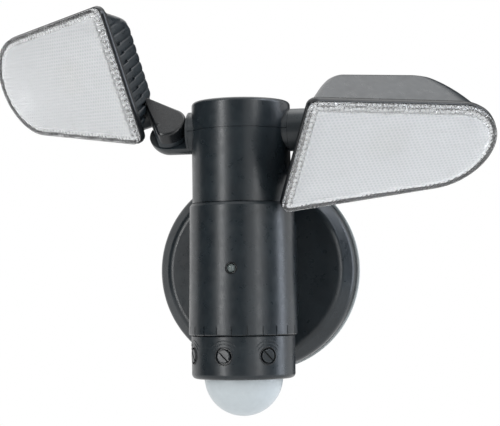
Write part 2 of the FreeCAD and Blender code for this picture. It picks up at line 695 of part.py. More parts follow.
COLUMN_PARTS = (wall_plate, wall_gasket, plate_screws, cable_grommet, terminal_block, terminal_screws,
                column_body, column_sleeve, top_cap, cap_screws, indicator_lens, control_board, board_parts,
                sensor_collar, trimmer_pots, sensor_ring, collar_seal, pir_board, pir_sensor, pir_dome)


def write_side(side):
    frames = arm_frames(side)
    for frame, parts in SIDE_PARTS.items():
        for name, make in parts:
            body = make()
            body.Placement = frames[frame].multiply(body.Placement)
            if side == "left":
                body = body.mirror(Vec(0, 0, 0), Vec(1, 0, 0))
            export(side + "_" + name, body)


def main():
    os.makedirs("parts", exist_ok=True)
    for make in COLUMN_PARTS:
        export(make.__name__, make())
    for name, k in (("range_dial", -1), ("light_dial", 0), ("time_dial", 1)):
        export(name, dial(k))
    for side in ("right", "left"):
        write_side(side)


main()
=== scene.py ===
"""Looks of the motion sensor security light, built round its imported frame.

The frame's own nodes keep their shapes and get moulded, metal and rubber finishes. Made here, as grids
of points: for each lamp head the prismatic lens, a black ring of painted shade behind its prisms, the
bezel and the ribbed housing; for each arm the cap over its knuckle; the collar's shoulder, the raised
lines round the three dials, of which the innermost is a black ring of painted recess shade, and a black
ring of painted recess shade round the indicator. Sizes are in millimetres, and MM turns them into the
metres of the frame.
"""
import json

import bmesh
import bpy
import numpy as np
from mathutils import Matrix


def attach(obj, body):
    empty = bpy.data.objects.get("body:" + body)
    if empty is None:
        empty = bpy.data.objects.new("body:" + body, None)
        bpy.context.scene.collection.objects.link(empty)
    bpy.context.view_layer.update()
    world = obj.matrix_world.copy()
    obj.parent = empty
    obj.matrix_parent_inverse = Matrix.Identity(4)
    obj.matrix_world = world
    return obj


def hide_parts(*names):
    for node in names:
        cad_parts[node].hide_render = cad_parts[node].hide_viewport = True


MM = 0.001
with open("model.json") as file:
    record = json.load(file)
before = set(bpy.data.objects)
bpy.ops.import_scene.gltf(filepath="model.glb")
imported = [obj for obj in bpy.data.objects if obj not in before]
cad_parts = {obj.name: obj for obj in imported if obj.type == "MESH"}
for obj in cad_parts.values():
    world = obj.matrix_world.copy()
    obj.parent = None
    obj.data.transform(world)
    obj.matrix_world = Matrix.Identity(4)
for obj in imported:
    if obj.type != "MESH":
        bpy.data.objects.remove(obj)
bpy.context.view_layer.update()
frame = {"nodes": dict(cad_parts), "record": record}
nodes = frame["nodes"]

# ---------------------------------------------------------------- driving sizes, in millimetres and degrees

COLUMN_Y = -57.0  # axis of the column
ARM_Z = 84.5  # height of the arms' spindles
KNUCKLE_X = 45.0  # bending joint of each arm
ARM_LENGTH = 28.0
OBLIQUE = 55.0  # between the arm and the axis on which its head turns
ARM_ANGLES = {"right": (-104.23, 91.4, 145.88), "left": (50.47, 31.55, -31.45)}  # turn, bend, twist
HEAD_JOINT = (22.98, -33.93, -22.15)  # the joint in a head's own frame: across, up, behind the lens

# A lamp head's D-shaped outline. Heights on its third axis are 0 at the lens's front and negative behind it.
LENS_HALF = 43.85  # half height of the lens at its straight inner side
LENS_END_R = 33.3  # radius of the round end
LENS_END_X = 93.7  # middle of the round end
LENS_CORNER = 5.0
END_STEPS, CORNER_STEPS = 90, 18  # points on each stretch of half an outline
SIDE_STEPS, INNER_STEPS = 110, 110

LENS_DEPTH = 6.0  # from the front to the skirt's foot
LENS_FACE = 2.6  # depth of the face's back
LENS_SKIRT = 2.0  # thickness of the skirt
LENS_MIDDLE = (55.0, 0.0)
LENS_EDGE_R = 0.8  # rounding of the front edge
LENS_LAND_IN = 2.5  # the flat land behind the rounded edge lies at this distance from it
LENS_CROWN_IN = 4.9  # the crowned face starts this far in
LENS_LAND, LENS_RISE = 0.05, 0.1  # heights of the land and of the crown's foot
LENS_CROWN = 0.5  # height of the crown
CROWN_RINGS = 12
FLANGE = 0.3  # how far the lens's edge reaches out over the bezel
FLANGE_BACK = -2.85
BEAD_PITCH = 3.4  # prisms of the row round the lens
BEAD_IN = 3.5  # the row stands this far in from the lens's edge
BEAD_HALF = 1.3
BEAD_DEPTH = 1.5
PILLOW_PITCH = 2.2  # small pillows that cover the back of the lens
PILLOWS_IN = 5.4  # they start this far in
SHADE_OUTER, SHADE_INNER = 2.6, 4.3  # the thin ring of painted shade behind the prisms, from the lens's edge
SHADE_FRONT, SHADE_BACK = -4.7, -5.1

BEZEL_RIM = 0.8  # how far the bezel stands out round the lens
BEZEL_GAP = 0.05  # between the bezel and the lens's edge
BEZEL_FRONT = -2.95
BEZEL_BACK = -7.8
RIM_BACK = -6.0
SEAL_FLOOR = -7.2
SEAL_IN = 6.5  # inner edge of the floor under the seal
STEP_IN = 1.9  # the back steps down this far in, into the housing's mouth
SKIRT_IN = 5.1
SKIRT_LENGTH = 3.5

HOUSING_GAP = 0.05
HOUSING_DEPTH = 35.6  # behind the bezel
HOUSING_STEP = 2.5  # the housing starts this far in from the lens's edge
HOUSING_WALL = 2.4
HOUSING_CORNER, CORNER_GROWTH = 6.0, 3.0
SIDE_DRAFT = 13.5  # how far the long sides, inner side and round end lean in over the housing's depth
INNER_DRAFT, INNER_STRAIGHT = 26.5, 0.8  # the second value is the straight part of a curved draft
TIP_DRAFT, TIP_STRAIGHT = 26.5, 0.36
END_NARROWING = 6.8
BACK_EDGE_SHARE = 0.88  # share of the depth where the back's round edge begins
BACK_EDGE_IN = 5.5
BACK_MIDDLE_X = 60.0
INNER_BACK_SHARE, INNER_BACK_IN = 0.97, 3.0
RIB_PITCH = 6.0
RIB_DEPTH = 1.5
RIB_SHIFT = 1.0  # the row of ribs stands this much low
RIBS_EACH_WAY = 5.2
RIB_START, RIB_FADE = 8.5, 3.0  # depth at which the ribs begin, and over which they grow
SLOT_HALF = 0.9
SLOT_DEPTH = 3.0
SLOT_EDGE = 0.3  # width over which a slot's side falls
SLOT_START, SLOT_LENGTH, SLOT_LONGER = 8.8, 5.2, 12.0  # the lower slots are longer, by up to the last
SLOT_TOP, SLOT_RUN = 34.0, 60.0  # the slots grow downwards from this height, over this run
SLOT_LEAST = 0.25
POCKET_FLOOR = -0.15  # past the joint, so that the arm's end has room
POCKET_R = 9.4
POCKET_EDGE = 0.5
SWING_FLOOR = 2.0  # room for the arm's side when the right head turns
SWING_R = 46.0

COVER_R = 11.8  # round end of an arm's cover
COVER_TAPER = 0.045
COVER_END = 29.0
COVER_OBLIQUE = 14.2
COVER_CORNERS = 16.0  # power of the mean that rounds the cover's corners: a higher one leaves them sharper
COVER_FOOT, COVER_TOP = 0.3, 11.35  # heights above the knuckle's middle
COVER_ROUND = 1.5
COVER_HOLLOW = 10.95
BOLT_R = 4.85

COLLAR_R = 31.6  # turning sensor collar
SHOULDER_GROWTH = 0.02
NECK_R = 28.6
SHOULDER_FOOT, SHOULDER_TOP = -47.4, -40.4
DIAL_Z = -52.3
DIAL_AZIMUTHS = {"range": -60, "light": -10, "time": 40}  # from the front towards +X
DIAL_LINES = [  # name, radius, first and last angle, half thickness, slot
    # the first line is a black ring of painted shade, where the dial's recess falls dark
    ("_dial_painted_shade_ring", 5.3, 0, 360, 0.35, "bezel_plastic"),
    ("_dial_inner_arc", 7.3, 25, 155, 0.3, "moulded_plastic"),
    ("_dial_outer_arc", 9.2, 35, 145, 0.3, "moulded_plastic"),
]
# the black ring of painted recess shade round the indicator
INDICATOR_SHADE_R, INDICATOR_SHADE_HALF = 3.12, 0.5
INDICATOR_SHADE_OUT = 31.9  # from the column's axis


# ---------------------------------------------------------------- frames of the lamp heads

def turn_about(axis, degrees):
    """The 3 x 3 turn about an axis: identity, plus sine times the cross matrix, plus one less cosine
    times its square."""
    x, y, z = np.asarray(axis, float) / np.linalg.norm(axis)
    angle = np.radians(degrees)
    cross = np.array([[0, -z, y], [z, 0, -x], [-y, x, 0]])
    return np.eye(3) + np.sin(angle) * cross + (1 - np.cos(angle)) * cross @ cross


def mirror_for(side):
    """The 3 x 3 mirror that makes a right arm's or head's points those of the given side."""
    return np.diag([1.0 if side == "right" else -1.0, 1, 1])


def arm_frame(side):
    """The axes of an arm as columns, found as a right one's: it turns on the column and bends at its
    knuckle."""
    turn, bend, _ = ARM_ANGLES[side]
    return turn_about((1, 0, 0), turn) @ turn_about((0, 0, 1), bend)


def head_frame(side):
    """Where a lamp head stands: its corner point in mm, and its axes across, up and out of the lens as
    columns. The head twists on its arm's oblique end. The left head is found as a right one and
    mirrored."""
    arm = arm_frame(side)
    slant, twist = np.radians(OBLIQUE), ARM_ANGLES[side][2]
    head = arm @ turn_about((np.cos(slant), -np.sin(slant), 0), twist)
    joint = np.array([KNUCKLE_X, COLUMN_Y, ARM_Z]) + arm @ np.array([ARM_LENGTH, 0, 0])
    axes = head @ np.array([[1.0, 0, 0], [0, 0, -1.0], [0, 1.0, 0]])
    corner = joint - axes @ np.array(HEAD_JOINT)
    return mirror_for(side) @ corner, mirror_for(side) @ axes


def arc(middle, radius, start, stop, count):
    """Points of an arc about its middle, and their normals, which point away from the middle."""
    turn = np.linspace(start, stop, count)
    normals = np.column_stack([np.cos(turn), np.sin(turn)])
    return np.array(middle) + radius * normals, normals


def d_outline(inner, half, end_x, end_r, corner):
    """A D-shaped outline, with the same count of points on each stretch whatever its size, as points and
    outward normals: round end, long side, corner, straight inner side, corner, long side. A long side
    touches both round stretches, so its slope makes half * cos(slope) - (end_x - inner) * sin(slope)
    equal the end's radius. The lower half mirrors the upper."""
    slope = np.arccos(end_r / np.hypot(half, end_x - inner)) - np.arctan2(end_x - inner, half)
    nx, ny = np.sin(slope), np.cos(slope)
    corner_x = inner + corner
    corner_y = (end_x * nx + end_r - corner - corner_x * nx) / ny
    lean = np.pi / 2 - slope
    end, end_n = arc((end_x, 0), end_r, 0, lean, END_STEPS)
    bend, bend_n = arc((corner_x, corner_y), corner, lean, np.pi, CORNER_STEPS)
    run = np.linspace(0, 1, SIDE_STEPS + 2)[1:-1, None]
    long_side = end[-1] + run * (bend[0] - end[-1])
    down = np.linspace(1, 0, INNER_STEPS, endpoint=False)[1:, None]
    straight = bend[-1] * np.column_stack([np.ones_like(down), down])
    upper = np.concatenate([end, long_side, bend, straight])
    upper_n = np.concatenate([end_n, np.tile([nx, ny], (SIDE_STEPS, 1)), bend_n,
                              np.tile([-1.0, 0.0], (INNER_STEPS - 1, 1))])
    points = np.concatenate([upper, [[inner, 0.0]], upper[:0:-1] * [1, -1]])
    outward = np.concatenate([upper_n, [[-1.0, 0.0]], upper_n[:0:-1] * [1, -1]])
    return points, outward


# ---------------------------------------------------------------- meshes: helpers

def weld(mesh):
    """Joins points that lie on each other, so that a ring's seam and a pole are closed."""
    work = bmesh.new()
    work.from_mesh(mesh)
    bmesh.ops.remove_doubles(work, verts=work.verts, dist=0.002 * MM)
    work.to_mesh(mesh)
    work.free()


def grid_piece(name, grid):
    """A mesh from a grid of points, rows by columns, whose columns run round and join up; each square is
    a face. The faces are turned outwards: the sum of each triangle's box product is six times the
    volume, and if that is negative, every face is turned over."""
    rows, columns = grid.shape[:2]
    index = np.arange(rows * columns).reshape(rows, columns)
    ahead = np.roll(index, -1, axis=1)
    quads = np.stack([index[:-1], ahead[:-1], ahead[1:], index[1:]], axis=-1).reshape(-1, 4)
    points = grid.reshape(-1, 3)
    a, b, c, d = (points[quads[:, k]] for k in range(4))
    if np.sum(a * np.cross(b, c)) + np.sum(a * np.cross(c, d)) < 0:
        quads = quads[:, ::-1]
    mesh = bpy.data.meshes.new(name)
    mesh.from_pydata(points.tolist(), [], quads.tolist())
    weld(mesh)
    mesh.polygons.foreach_set("use_smooth", np.ones(len(mesh.polygons), bool))
    made = bpy.data.objects.new(name, mesh)
    bpy.context.scene.collection.objects.link(made)
    return made


def head_piece(side, name, rings, material):
    """A piece of a lamp head from rings of points in the head's own frame, in mm. It rides on the head."""
    corner, axes = head_frame(side)
    piece = grid_piece(side + "_" + name, (corner + np.array(rings) @ axes.T) * MM)
    piece.data.materials.append(material)
    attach(piece, side + "_head")
    return piece


# ---------------------------------------------------------------- materials: helpers

def colour(hex_code):
    """An sRGB hex colour as linear RGBA: each channel below 0.04045 is divided by 12.92, and each other
    one goes through the 2.4 power curve."""
    srgb = np.array([int(hex_code[i:i + 2], 16) for i in (1, 3, 5)]) / 255
    linear = np.where(srgb <= 0.04045, srgb / 12.92, ((srgb + 0.055) / 1.055) ** 2.4)
    return (*linear.tolist(), 1.0)


def add(tree, kind, inputs=None, **settings):
    """Adds a node of that kind. Settings are its properties; inputs are its sockets by name or number,
    each given a value or linked to another node's output."""
    made = tree.nodes.new(kind)
    for key, value in settings.items():
        setattr(made, key, value)
    for key, value in (inputs or {}).items():
        socket = made.inputs[key]
        if isinstance(value, bpy.types.NodeSocket):
            tree.links.new(value, socket)
        else:
            socket.default_value = value
    return made


def empty_tree(owner):
    """The emptied node tree of a material or a world."""
    owner.use_nodes = True
    owner.node_tree.nodes.clear()
    return owner.node_tree


def new_material(name, **shader):
    """A material with its main shader and its output, and nothing else; returns the material, tree and
    shader."""
    material = bpy.data.materials.new(name)
    tree = empty_tree(material)
    surface = add(tree, "ShaderNodeBsdfPrincipled", {key.replace("_", " "): v for key, v in shader.items()})
    add(tree, "ShaderNodeOutputMaterial", {"Surface": surface.outputs["BSDF"]})
    return material, tree, surface


def mottle(tree, place, size_mm, detail=2.0):
    """Noise whose spots are about size_mm across, as a value from 0 to 1."""
    noise = add(tree, "ShaderNodeTexNoise", {"Vector": place, "Scale": 1 / (size_mm * MM), "Detail": detail})
    return noise.outputs["Fac"]


def between(tree, value, low, high):
    """A colour between two hex colours, by a value from 0 to 1."""
    mix = add(tree, "ShaderNodeMix", {"Factor": value, 6: colour(low), 7: colour(high)}, data_type="RGBA")
    return mix.outputs[2]


def rescaled(tree, value, low, high, to_low=0.0, to_high=1.0):
    """A value mapped from low..high to to_low..to_high, and held at the ends."""
    inputs = {"Value": value, "From Min": low, "From Max": high, "To Min": to_low, "To Max": to_high}
    return add(tree, "ShaderNodeMapRange", inputs).outputs["Result"]


# ---------------------------------------------------------------- materials of this light

MIDDLE_OF_NOISE = (0.3, 0.7)  # most of the noise's values lie between these
FLOW_MM = 14.0  # soft clouds that the melt leaves as it fills the mould
HANDLING_MM = 5.0  # patches that are a little smoother or rougher
ACRYLIC_IOR = 1.49


def moulded_abs(name, dark, light, roughness):
    """Injection-moulded ABS. The spark-eroded mould leaves a grain too fine to show, which is in the
    roughness: it spreads each highlight. The tone has faint clouds, and the gloss changes a little from
    patch to patch."""
    material, tree, surface = new_material(name, Specular_IOR_Level=0.5)
    place = add(tree, "ShaderNodeTexCoord").outputs["Object"]
    cloud = rescaled(tree, mottle(tree, place, FLOW_MM, 3.0), *MIDDLE_OF_NOISE)
    tree.links.new(between(tree, cloud, dark, light), surface.inputs["Base Color"])
    patches = mottle(tree, place, HANDLING_MM, 4.0)
    wear = rescaled(tree, patches, *MIDDLE_OF_NOISE, roughness - 0.04, roughness + 0.05)
    tree.links.new(wear, surface.inputs["Roughness"])
    return material


def plain_material(name, hex_low, hex_high, roughness, metallic=0.0, spot_mm=3.0, depth_mm=0.02):
    """A small part's finish: two close tones in soft spots, and a faint bump of the same size."""
    material, tree, surface = new_material(name, Roughness=roughness, Metallic=metallic)
    place = add(tree, "ShaderNodeTexCoord").outputs["Object"]
    spots = mottle(tree, place, spot_mm)
    tree.links.new(between(tree, spots, hex_low, hex_high), surface.inputs["Base Color"])
    bump = add(tree, "ShaderNodeBump", {"Height": spots, "Distance": depth_mm * MM, "Strength": 0.6})
    tree.links.new(bump.outputs["Normal"], surface.inputs["Normal"])
    return material


# A plain material has its name, two tones and roughness, then, where they differ from a plastic's, its
# metallic value, the size of its spots and the depth of its bump.
MATERIALS = {
    # satin slate grey of the plate, column, collar, arms and housings
    "moulded_plastic": moulded_abs("moulded_slate_abs", "#191f23", "#1f262a", 0.3),
    # darker and glossier: the bezels and the arms' covers, and the black rings of painted shade round the
    # dials, behind the lenses' prisms and round the indicator
    "bezel_plastic": moulded_abs("moulded_black_abs", "#0e1012", "#14171a", 0.24),
    # a smooth dark grey between the two, on the dials
    "dial_plastic": moulded_abs("moulded_dial_abs", "#1d2124", "#24292c", 0.3),
    # water clear, with a hard gloss; the two lenses and the light pipe have their own versions
    "clear_plastic": plain_material("moulded_clear_acrylic", "#eef2f3", "#f6f8f8", 0.08),
    # milky and waxy: thin polyethylene, which lets body heat through
    "dome_plastic": plain_material("moulded_polyethylene", "#aeb4b6", "#b8bec0", 0.32),
    # vapour-plated reflector: a soft mirror with a slight orange peel
    "bright_aluminium": plain_material("metallised_plastic", "#f2f3f4", "#fbfbfb", 0.4, 1.0, 2.5, 0.05),
    # rolled aluminium of the LED boards, bare and dull
    "board_aluminium": plain_material("bare_board_aluminium", "#eeefef", "#f8f8f8", 0.42, 1.0, 2.5, 0.03),
    # cream to the eye when the light is off
    "led_phosphor": plain_material("led_phosphor", "#f4efdc", "#f8f4e6", 0.5, 0.0, 0.8),
    # bluish bright zinc on the screws, bolts and studs
    "screw_steel": plain_material("zinc_plated_steel", "#a9adb0", "#c4c7c9", 0.3, 1.0, 1.5),
    # dark oxide on the ring that holds the collar in the column
    "spring_steel": plain_material("blued_spring_steel", "#55595e", "#6a6f75", 0.35, 1.0, 2.0),
    # pale tin on the detector's can
    "can_steel": plain_material("tinned_steel", "#bcbfc0", "#cfd1d2", 0.28, 1.0, 2.0),
    # dull black seals and grommet, without a clear highlight
    "black_rubber": plain_material("nitrile_rubber", "#121314", "#1b1c1d", 0.7, 0.0, 0.6),
    # grey foam with small closed cells
    "foam_seal": plain_material("closed_cell_foam", "#9fa3a3", "#b4b8b7", 0.85, 0.0, 0.7, 0.15),
    # the warm off-white of polyamide without a dye
    "terminal_plastic": plain_material("natural_polyamide", "#cdc9bc", "#dad6ca", 0.45),
    # lacquered green over the boards' copper
    "board_laminate": plain_material("green_solder_mask", "#0f3a20", "#16502c", 0.3),
    # near-black bodies of the boards' parts, and the ring nuts in the column
    "component_plastic": plain_material("epoxy_component", "#16181c", "#24272d", 0.45),
}
slot_of = {part["node"]: part["material_slot"] for part in frame["record"]["subparts"]}
for node_name, cad in nodes.items():
    cad.data.materials.clear()
    cad.data.materials.append(MATERIALS[slot_of[node_name]])


def light_pipe_material():
    """The clear acrylic of the indicator's light pipe. Its grey base colour is painted shade: it stands for
    the dark column seen through the pipe. Its end is slightly hazy."""
    # the grey base colour is painted shade for the dark column behind the clear pipe
    material, tree, surface = new_material(
        "clear_light_pipe_acrylic", Base_Color=colour("#7f8a88"), IOR=ACRYLIC_IOR, Transmission_Weight=0.6)
    place = add(tree, "ShaderNodeTexCoord").outputs["Object"]
    haze = rescaled(tree, mottle(tree, place, 1.0), *MIDDLE_OF_NOISE, 0.08, 0.2)
    tree.links.new(haze, surface.inputs["Roughness"])
    return material


nodes["indicator_lens"].data.materials[0] = light_pipe_material()


def lens_material(side, name, clearness):
    """Clear moulded acrylic; its clearness is the share of light that goes straight through, and the
    rest is scattered. Small pillows cover the back in staggered rows and break up what is behind it:
    three waves, each a third of a half turn from the next, add up to them in the plane of the head's own
    lens. The scattered tone is a little darker where the pillows are low: painted shade that brings out
    the pillows."""
    material, tree, surface = new_material(
        side + name, Roughness=0.06, IOR=ACRYLIC_IOR, Transmission_Weight=clearness)
    _, axes = head_frame(side)
    proper = axes * (1 if np.linalg.det(axes) > 0 else (-1, 1, 1))
    place = add(tree, "ShaderNodeTexCoord").outputs["Object"]
    level = add(tree, "ShaderNodeMapping", {
        "Vector": place, "Rotation": Matrix(proper.T.tolist()).to_euler()})
    waves = []
    for direction in (30.0, 90.0, 150.0):
        turned = add(tree, "ShaderNodeMapping", {
            "Vector": level.outputs[0], "Rotation": (0, 0, np.radians(direction))})
        wave = add(tree, "ShaderNodeTexWave", {
            "Vector": turned.outputs[0], "Scale": np.pi / (10 * PILLOW_PITCH * MM)}, bands_direction="X")
        waves.append(wave.outputs["Fac"])
    two = add(tree, "ShaderNodeMath", {0: waves[0], 1: waves[1]}, operation="ADD").outputs[0]
    pillows = add(tree, "ShaderNodeMath", {0: two, 1: waves[2]}, operation="ADD").outputs[0]
    # darker where the pillows are low: painted shade of the pillows
    pillow_shade_tone = between(tree, rescaled(tree, pillows, 0.4, 2.0), "#edf0f2", "#ffffff")
    tree.links.new(pillow_shade_tone, surface.inputs["Base Color"])
    bump = add(tree, "ShaderNodeBump", {"Height": pillows, "Distance": 0.14 * MM, "Strength": 0.75})
    tree.links.new(bump.outputs["Normal"], surface.inputs["Normal"])
    return material


# ---------------------------------------------------------------- lenses and bezels of the lamp heads

LENS_EDGE, LENS_NORMALS = d_outline(0, LENS_HALF, LENS_END_X, LENS_END_R, LENS_CORNER)


def lens_ring(inset, height):
    """The lens's outline drawn in by an inset along its normals, at one height, or at one for each
    point."""
    return np.column_stack([LENS_EDGE - inset * LENS_NORMALS, np.broadcast_to(height, len(LENS_EDGE))])


def shrunk_ring(share, height):
    """The crown's foot shrunk towards the lens's middle: all of it at a share of 0, and a point at 1."""
    foot = LENS_EDGE - LENS_CROWN_IN * LENS_NORMALS
    points = LENS_MIDDLE + (1 - share) * (foot - LENS_MIDDLE)
    return np.column_stack([points, np.full(len(points), height)])


def bead_swell():
    """How thick the row of prisms is along the outline, from 0 to 1: a cosine with a whole number of
    waves."""
    steps = np.linalg.norm(np.roll(LENS_EDGE, -1, axis=0) - LENS_EDGE, axis=1)
    along = np.concatenate([[0], np.cumsum(steps)[:-1]])
    waves = round(steps.sum() / BEAD_PITCH)
    return 0.5 + 0.5 * np.cos(2 * np.pi * waves * along / steps.sum())


def lens(side):
    """The clear cover. Its profile runs up the skirt, out under a thin flange that covers the bezel's
    front, over the round edge, across the slightly crowned face to the middle, and back along the
    inside, where a row of prisms stands on the face's back. The face inside the prisms has the finish
    with pillows."""
    swell = bead_swell()
    shares = np.linspace(0.08, 1, CROWN_RINGS) ** 0.8
    rings = [lens_ring(0, -LENS_DEPTH), lens_ring(0, FLANGE_BACK), lens_ring(-FLANGE, FLANGE_BACK)]
    rings += [lens_ring(LENS_EDGE_R * (1 - np.cos(t)) - FLANGE, LENS_EDGE_R * (np.sin(t) - 1))
              for t in np.linspace(0, np.pi / 2, 6)]
    rings += [lens_ring(LENS_LAND_IN, LENS_LAND), lens_ring(LENS_CROWN_IN, LENS_RISE)]
    rings += [shrunk_ring(share, LENS_RISE + LENS_CROWN * np.sin(share * np.pi / 2)) for share in shares]
    rings += [shrunk_ring(share, -LENS_FACE) for share in shares[::-1]]
    rings += [lens_ring(BEAD_IN + BEAD_HALF * t, -LENS_FACE - BEAD_DEPTH * (1 - t**2) * swell)
              for t in np.linspace(1, -1, 9)]
    rings += [lens_ring(LENS_SKIRT, -LENS_FACE - 0.2), lens_ring(LENS_SKIRT, -LENS_DEPTH), rings[0]]
    piece = head_piece(side, "lens_prisms", rings, lens_material(side, "_clear_acrylic_edge", 0.97))
    piece.data.materials.append(lens_material(side, "_fine_pillow_acrylic", 0.68))
    corner, axes = head_frame(side)
    centres = np.array([face.center for face in piece.data.polygons]) / MM - corner
    from_edge = np.array([np.min(np.hypot(*(LENS_EDGE - point).T)) for point in centres @ axes[:, :2]])
    piece.data.polygons.foreach_set("material_index", (from_edge > PILLOWS_IN).astype(np.int32))
    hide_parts(side + "_lens")


def painted_shade_ring(side):
    """A thin black ring between the row of prisms and the reflector: painted shade, a dark piece that stands
    for the darkness the prisms refract, which they break into dark dashes."""
    profile = [(SHADE_OUTER, SHADE_FRONT), (SHADE_INNER, SHADE_FRONT), (SHADE_INNER, SHADE_BACK),
               (SHADE_OUTER, SHADE_BACK), (SHADE_OUTER, SHADE_FRONT)]
    rings = [lens_ring(inset, height) for inset, height in profile]
    head_piece(side, "lens_painted_shade_ring", rings, MATERIALS["bezel_plastic"])


def bezel(side):
    """The black frame round the lens. Its profile, carried along the lens's outline, is a rim with
    rounded lips, a floor under the seal and a skirt that reaches into the housing."""
    rim, front, back, gap = -BEZEL_RIM, BEZEL_FRONT, BEZEL_BACK, -BEZEL_GAP
    lip, bevel = 0.5, 0.12
    profile = [
        (gap, SEAL_FLOOR), (gap, front - 0.45), (gap - 0.1, front - 0.15), (rim + 0.4, front),
        (rim + bevel, front - bevel), (rim, front - lip), (rim, RIM_BACK + lip),
        (rim + bevel, RIM_BACK + bevel), (rim + lip, RIM_BACK),
        (STEP_IN, RIM_BACK), (STEP_IN, back), (SKIRT_IN, back), (SKIRT_IN, back - SKIRT_LENGTH),
        (SEAL_IN, back - SKIRT_LENGTH), (SEAL_IN, SEAL_FLOOR), (gap, SEAL_FLOOR),
    ]
    rings = [lens_ring(inset, height) for inset, height in profile]
    piece = head_piece(side, "bezel_frame", rings, MATERIALS["bezel_plastic"])
    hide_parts(side + "_bezel")


# ---------------------------------------------------------------- housings of the lamp heads

def eased(share, straight):
    """A draft from 0 to 1: a straight line, or a quarter circle, or a mix of both."""
    return straight * share + (1 - straight) * (1 - np.sqrt(np.maximum(0, 1 - share**2)))


def housing_ring(share, inset=0.0, lift=0.0):
    """The housing's outline at a share of its depth, drawn in by an inset and moved forwards by a lift."""
    start = HOUSING_STEP + inset
    inner = start + INNER_DRAFT * eased(share, INNER_STRAIGHT)
    tip = LENS_END_X + LENS_END_R - start - TIP_DRAFT * eased(share, TIP_STRAIGHT)
    end_r = LENS_END_R - start - END_NARROWING * share
    points, normals = d_outline(inner, LENS_HALF - start - SIDE_DRAFT * share, tip - end_r, end_r,
                                HOUSING_CORNER + CORNER_GROWTH * share)
    height = BEZEL_BACK - HOUSING_GAP - HOUSING_DEPTH * share + lift
    return np.column_stack([points, np.full(len(points), height)]), normals


def ribbed_ring(share):
    """The housing's outline with grooves between round ribs cut into its inner side, and a deeper slot
    at each groove's front. Each rib is half an ellipse across, so the groove is the ellipse's shortfall;
    the cut fades where the corners turn away, and the slots reach deeper lower down."""
    ring, normals = housing_ring(share)
    depth = -ring[0, 2]
    height = ring[:, 1] + RIB_SHIFT
    across = (height / RIB_PITCH) % 1.0
    groove = 1 - np.sqrt(np.maximum(0, 1 - (2 * across - 1) ** 2))
    facing_in = np.clip(-normals[:, 0], 0, 1) ** 2 * (np.abs(height) < RIBS_EACH_WAY * RIB_PITCH)
    from_slot = np.abs(height - RIB_PITCH * np.round(height / RIB_PITCH))
    low_end = np.clip((SLOT_TOP - height) / SLOT_RUN, 0, 1)
    slot_end = SLOT_START + SLOT_LENGTH + SLOT_LONGER * low_end
    slot = np.clip((SLOT_HALF - from_slot) / SLOT_EDGE, 0, 1) * (depth > SLOT_START) * (depth < slot_end)
    cut = RIB_DEPTH * groove * np.clip((depth - RIB_START) / RIB_FADE, 0, 1)
    cut = cut + SLOT_DEPTH * slot * (low_end > SLOT_LEAST)
    ring[:, 0] += facing_in * cut
    return ring


def pocket(points, floor, reach):
    """Pushes what lies in the way of the arm down to a flat floor, along the head joint's own axis:
    within the pocket's radius a point's distance beyond the floor is taken off, with a soft edge."""
    slant = np.radians(OBLIQUE)
    inwards = np.array([np.cos(slant), 0, np.sin(slant)])
    offset = points - np.array(HEAD_JOINT)
    beyond = -offset @ inwards
    radius = np.linalg.norm(offset + beyond[..., None] * inwards, axis=-1)
    within = np.clip((reach - radius) / POCKET_EDGE, 0, 1)
    return points + (np.maximum(0, beyond - floor) * within)[..., None] * inwards


def closing_rings(ring, shares):
    """Rings that close the housing's back: each is the last ring shrunk towards its middle by a share."""
    middle = np.array([BACK_MIDDLE_X, 0, ring[0, 2]])
    return [middle + (1 - share) * (ring - middle) for share in shares]


def housing(side):
    """The moulded back of a lamp head: a drafted tub with round ribs on its inner side. Its outer wall
    runs from the bezel to the flat back, over an edge that blends three rings as a quadratic curve does;
    the inner wall follows it, a wall's thickness inside. A pocket for the arm's end is pressed into both
    walls. The right head turns further, so its housing has a wider and shallower pocket for the arm's
    side as well."""
    outer = [ribbed_ring(share) for share in np.linspace(0, BACK_EDGE_SHARE, 40)]
    edge_ring, edge_normals = housing_ring(1.0)
    start, corner_ring = outer[-1], ribbed_ring(1.0)
    flat = np.column_stack([edge_ring[:, :2] - BACK_EDGE_IN * edge_normals, edge_ring[:, 2]])
    outer += [(1 - t) ** 2 * start + 2 * t * (1 - t) * corner_ring + t**2 * flat
              for t in np.linspace(0.1, 1, 10)]
    outer += closing_rings(flat, (0.2, 0.4, 0.6, 0.8, 0.95, 1.0))
    inner_flat, _ = housing_ring(INNER_BACK_SHARE, HOUSING_WALL + INNER_BACK_IN, HOUSING_WALL)
    inner = closing_rings(inner_flat, (1.0, 0.95, 0.7, 0.4))
    inner += [housing_ring(share, HOUSING_WALL)[0] for share in np.linspace(0.9, 0, 24)]
    outer, inner = np.array(outer), np.array(inner)
    pockets = [(POCKET_FLOOR, POCKET_R)]
    if side == "right":
        pockets.append((SWING_FLOOR, SWING_R))
    for floor, reach in pockets:
        outer = pocket(outer, floor, reach)
        inner = pocket(inner, floor - HOUSING_WALL, reach + HOUSING_WALL)
    grid = np.concatenate([outer, inner, outer[:1]])
    piece = head_piece(side, "housing_shell", grid, MATERIALS["moulded_plastic"])
    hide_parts(side + "_housing")


# ---------------------------------------------------------------- arms, collar, dials and indicator

def circle_angles(count):
    """Evenly spaced angles once round, in radians."""
    return np.linspace(0, 2 * np.pi, count, endpoint=False)


def cover_reach(angle):
    """How far the arm's cover reaches from the knuckle's axis in a direction: the round end, the two
    long sides, the oblique end and the far end each give a limit, and a high power mean of them rounds
    the corners."""
    ahead, aside = np.cos(angle), np.sin(angle)
    far = 1000.0  # stands for no limit
    sides = COVER_R / np.maximum(np.abs(aside) + COVER_TAPER * ahead, 1e-6)
    limits = [np.where(ahead <= 0, COVER_R, sides),
              COVER_OBLIQUE / np.maximum(ahead - np.tan(np.radians(OBLIQUE)) * aside, COVER_OBLIQUE / far),
              COVER_END / np.maximum(ahead, COVER_END / far)]
    return sum(limit**-COVER_CORNERS for limit in limits) ** (-1 / COVER_CORNERS)


